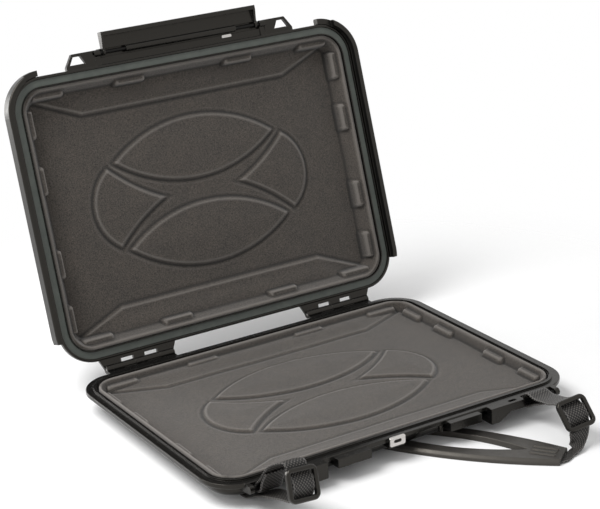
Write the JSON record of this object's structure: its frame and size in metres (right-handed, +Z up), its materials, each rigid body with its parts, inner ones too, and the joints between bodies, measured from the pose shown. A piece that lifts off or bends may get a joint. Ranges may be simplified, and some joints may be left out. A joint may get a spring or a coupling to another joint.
{
  "type": "laptop hard case",
  "caption": "Low hard-shell laptop case, opened, with foam-lined tray and lid, hinged latch plate, side bumpers, carrying webbing, buckles and a rubber handle.",
  "frame": {"origin": "middle of the opened case's outline on the plane it stands on", "axes": "+X to the right along the hinge, +Y from the latch side towards the hinge and lid, +Z up"},
  "size_m": [0.435, 0.5502, 0.3649],
  "materials": {
    "shell_black": "moulded satin gloss",
    "liner_foam": "short-pile fabric over moulded foam",
    "rubber_black": "matt moulded rubber",
    "seal_rubber": "smooth sealing strip",
    "webbing_black": "woven twill webbing",
    "buckle_plastic": "satin moulded plastic",
    "bumper_plastic": "satin moulded plastic",
    "steel": "brushed",
    "dark_steel": "black finish"
  },
  "bodies": {
    "base": {"base_shell": "shell_black", "base_liner": "liner_foam", "base_feet": "rubber_black", "lock_bracket": "steel", "hinge_pin_left": "steel", "hinge_pin_right": "steel", "strap_bar_left": "dark_steel", "strap_bar_right": "dark_steel", "webbing_left": "webbing_black", "webbing_floor_left": "webbing_black", "webbing_right": "webbing_black", "buckle_left": "buckle_plastic", "buckle_right": "buckle_plastic", "handle_grip": "rubber_black"},
    "lid": {"lid_shell": "shell_black", "lid_seal": "seal_rubber", "lid_liner": "liner_foam", "lid_bumper_left": "bumper_plastic", "lid_bumper_right": "bumper_plastic", "latch_clip": "steel", "latch_rod_left": "dark_steel", "latch_rod_right": "dark_steel"},
    "latch": {"latch_plate": "shell_black"}
  },
  "joints": [
    {"name": "lid_hinge", "type": "hinge", "parent": "base", "child": "lid", "pos_m": [0, 0.1483, 0.026], "axis": [1, 0, 0], "range_deg": [0, 106.8]},
    {"name": "latch_pivot", "type": "hinge", "parent": "lid", "child": "latch", "pos_m": [0, 0.24606, 0.34287], "axis": [1, 0, 0], "range_deg": [0, 90]}
  ]
}
